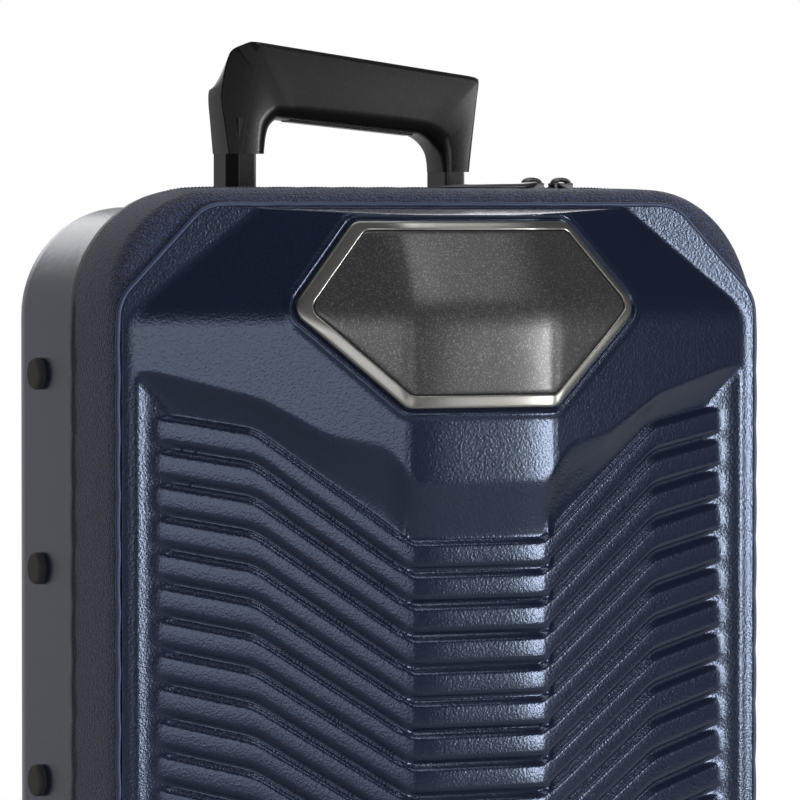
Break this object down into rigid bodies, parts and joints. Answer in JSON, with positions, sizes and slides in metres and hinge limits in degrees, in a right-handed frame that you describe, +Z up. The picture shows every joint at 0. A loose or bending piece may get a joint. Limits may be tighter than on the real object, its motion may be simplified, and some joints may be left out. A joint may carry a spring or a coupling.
{
  "type": "hard shell suitcase on wheels",
  "caption": "Upright navy hard shell cabin suitcase with ribbed, faceted front, hexagonal badge, fabric gusset with zip, telescopic handle, carry handles, lock and swivel casters.",
  "frame": {"origin": "on the floor, under the middle of the whole object's box", "axes": "+Z up along the height, +Y from the decorated front to the back, +X to the right seen from the front"},
  "size_m": [0.409, 0.2062, 0.6295],
  "materials": {
    "shell_navy": "satin moulded shell with a fine leather-like grain",
    "fabric_navy": "woven nylon with a pebbled weave",
    "piping_navy": "smooth sewn piping",
    "badge_satin": "warm grey satin",
    "badge_graphite": "dark graphite with a fine sparkle",
    "zip_coil": "nylon coil on woven tape",
    "zip_metal": "gunmetal lacquer",
    "handle_black": "fine grained charcoal",
    "tube_black": "black gloss anodised",
    "trim_black": "fine textured",
    "lining_grey": "thin woven polyester",
    "webbing": "ribbed webbing",
    "steel": "zinc plated",
    "tyre_rubber": "soft polyurethane",
    "hub_grey": "moulded",
    "foot_rubber": "matte",
    "dial_black": "knurled"
  },
  "bodies": {
    "rear_half": {"rear_shell": "shell_navy", "rear_piping": "piping_navy", "rear_zip": "zip_coil", "rear_lining": "lining_grey", "rear_base_tray": "trim_black", "rear_swivel_pins": "steel", "rear_screws": "steel", "packing_straps": "webbing", "strap_buckles": "trim_black", "side_feet": "foot_rubber", "handle_cup": "trim_black", "outer_tubes": "tube_black", "outer_collars": "trim_black", "tube_foot": "trim_black", "top_carry_guides": "trim_black", "side_carry_guides": "trim_black", "lock_body": "trim_black"},
    "front_half": {"front_shell": "shell_navy", "front_piping": "piping_navy", "front_gusset": "fabric_navy", "badge_frame": "badge_satin", "badge_panel": "badge_graphite", "front_lining": "lining_grey", "front_zip": "zip_coil", "front_base_tray": "trim_black", "front_swivel_pins": "steel", "front_screws": "steel"},
    "middle_stage": {"middle_tubes": "tube_black", "middle_collars": "trim_black"},
    "inner_stage": {"inner_tubes": "tube_black", "inner_plugs": "trim_black", "handle_grip": "handle_black"},
    "grip_button": {"grip_button": "handle_black", "release_rods": "steel"},
    "top_carry": {"top_carry_handle": "handle_black"},
    "side_carry": {"side_carry_handle": "handle_black"},
    "lock_button": {"lock_button": "handle_black"},
    "slider_left": {"zip_slider_left": "zip_metal"},
    "slider_right": {"zip_slider_right": "zip_metal"},
    "pull_left": {"zip_pull_left": "zip_metal"},
    "pull_right": {"zip_pull_right": "zip_metal"},
    "dial_1": {"lock_dial_1": "dial_black"},
    "dial_2": {"lock_dial_2": "dial_black"},
    "dial_3": {"lock_dial_3": "dial_black"},
    "fork_fl": {"caster_fork_fl": "trim_black", "caster_axle_fl": "steel"},
    "wheels_fl": {"caster_hubs_fl": "hub_grey", "caster_tyres_fl": "tyre_rubber"},
    "fork_fr": {"caster_fork_fr": "trim_black", "caster_axle_fr": "steel"},
    "wheels_fr": {"caster_hubs_fr": "hub_grey", "caster_tyres_fr": "tyre_rubber"},
    "fork_rl": {"caster_fork_rl": "trim_black", "caster_axle_rl": "steel"},
    "wheels_rl": {"caster_hubs_rl": "hub_grey", "caster_tyres_rl": "tyre_rubber"},
    "fork_rr": {"caster_fork_rr": "trim_black", "caster_axle_rr": "steel"},
    "wheels_rr": {"caster_hubs_rr": "hub_grey", "caster_tyres_rr": "tyre_rubber"}
  },
  "joints": [
    {"name": "front_open", "type": "hinge", "parent": "rear_half", "child": "front_half", "pos_m": [-0.205, 0.0016, 0.3], "axis": [0, 0, -1], "range_deg": [0, 180]},
    {"name": "handle_lower_stage", "type": "slide", "parent": "rear_half", "child": "middle_stage", "axis": [0, 0, 1], "range_m": [0, 0.215]},
    {"name": "handle_upper_stage", "type": "slide", "parent": "middle_stage", "child": "inner_stage", "axis": [0, 0, 1], "range_m": [-0.085, 0.145]},
    {"name": "grip_button_press", "type": "slide", "parent": "inner_stage", "child": "grip_button", "axis": [0, 0, 1], "range_m": [0, 0.003], "stiffness_N_per_m": 900, "springref_m": -0.003},
    {"name": "top_carry_lift", "type": "slide", "parent": "rear_half", "child": "top_carry", "axis": [0, 0, 1], "range_m": [0, 0.012]},
    {"name": "side_carry_lift", "type": "slide", "parent": "rear_half", "child": "side_carry", "axis": [1, 0, 0], "range_m": [0, 0.012]},
    {"name": "lock_button_press", "type": "slide", "parent": "rear_half", "child": "lock_button", "axis": [-1, 0, 0], "range_m": [0, 0.002], "stiffness_N_per_m": 300, "springref_m": -0.002},
    {"name": "zip_slider_left_slide", "type": "slide", "parent": "front_half", "child": "slider_left", "axis": [1, 0, 0], "range_m": [-0.2, 0]},
    {"name": "zip_slider_right_slide", "type": "slide", "parent": "front_half", "child": "slider_right", "axis": [1, 0, 0], "range_m": [0, 0.015]},
    {"name": "zip_pull_left_lift", "type": "hinge", "parent": "slider_left", "child": "pull_left", "pos_m": [0.0856, 0.0016, 0.5489], "axis": [0, 1, 0], "range_deg": [0, 90]},
    {"name": "zip_pull_right_lift", "type": "hinge", "parent": "slider_right", "child": "pull_right", "pos_m": [0.1046, 0.0016, 0.5489], "axis": [0, -1, 0], "range_deg": [0, 90]},
    {"name": "lock_dial_1_turn", "type": "hinge", "parent": "rear_half", "child": "dial_1", "pos_m": [0.1945, 0.0301, 0.42], "axis": [0, 0, 1], "continuous": true},
    {"name": "lock_dial_2_turn", "type": "hinge", "parent": "rear_half", "child": "dial_2", "pos_m": [0.1945, 0.0301, 0.43], "axis": [0, 0, 1], "continuous": true},
    {"name": "lock_dial_3_turn", "type": "hinge", "parent": "rear_half", "child": "dial_3", "pos_m": [0.1945, 0.0301, 0.44], "axis": [0, 0, 1], "continuous": true},
    {"name": "caster_fl_swivel", "type": "hinge", "parent": "front_half", "child": "fork_fl", "pos_m": [-0.152, -0.0419, 0.053], "axis": [0, 0, 1], "continuous": true},
    {"name": "caster_fl_roll", "type": "hinge", "parent": "fork_fl", "child": "wheels_fl", "pos_m": [-0.152, -0.0279, 0.025], "axis": [1, 0, 0], "continuous": true},
    {"name": "caster_fr_swivel", "type": "hinge", "parent": "front_half", "child": "fork_fr", "pos_m": [0.152, -0.0419, 0.053], "axis": [0, 0, 1], "continuous": true},
    {"name": "caster_fr_roll", "type": "hinge", "parent": "fork_fr", "child": "wheels_fr", "pos_m": [0.152, -0.0279, 0.025], "axis": [1, 0, 0], "continuous": true},
    {"name": "caster_rl_swivel", "type": "hinge", "parent": "rear_half", "child": "fork_rl", "pos_m": [-0.152, 0.0501, 0.053], "axis": [0, 0, 1], "continuous": true},
    {"name": "caster_rl_roll", "type": "hinge", "parent": "fork_rl", "child": "wheels_rl", "pos_m": [-0.152, 0.0641, 0.025], "axis": [1, 0, 0], "continuous": true},
    {"name": "caster_rr_swivel", "type": "hinge", "parent": "rear_half", "child": "fork_rr", "pos_m": [0.152, 0.0501, 0.053], "axis": [0, 0, 1], "continuous": true},
    {"name": "caster_rr_roll", "type": "hinge", "parent": "fork_rr", "child": "wheels_rr", "pos_m": [0.152, 0.0641, 0.025], "axis": [1, 0, 0], "continuous": true}
  ]
}
